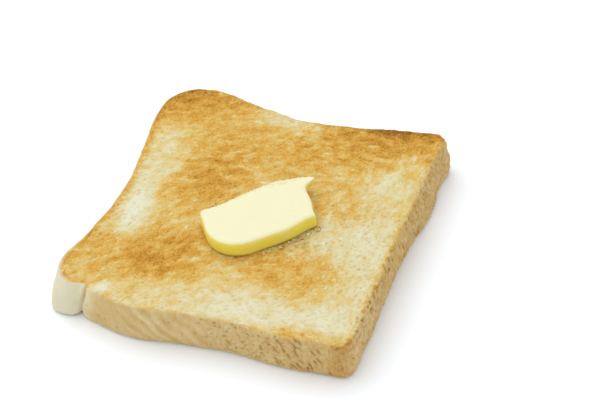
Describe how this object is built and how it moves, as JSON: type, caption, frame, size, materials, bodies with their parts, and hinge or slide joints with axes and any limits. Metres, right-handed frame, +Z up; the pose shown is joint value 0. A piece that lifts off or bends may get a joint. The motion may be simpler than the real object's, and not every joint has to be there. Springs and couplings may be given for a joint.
{
  "type": "buttered toast",
  "caption": "Thick slice of square white toast, browned in streaks on its cut faces, lying flat with a pat of butter on top.",
  "frame": {"origin": "middle of the underside's box, on the surface that the slice rests on", "axes": "+Z up through the slice's thickness, -X towards the loaf's crown, +X towards its base, +Y across the loaf"},
  "size_m": [0.1112, 0.1118, 0.0222],
  "materials": {
    "toasted_bread": "matte porous toasted crumb with a soft tan crust",
    "butter": "satin, slightly waxy fresh-cut butter"
  },
  "bodies": {
    "root": {"toast_slice": "toasted_bread", "butter_pat": "butter"}
  },
  "joints": []
}
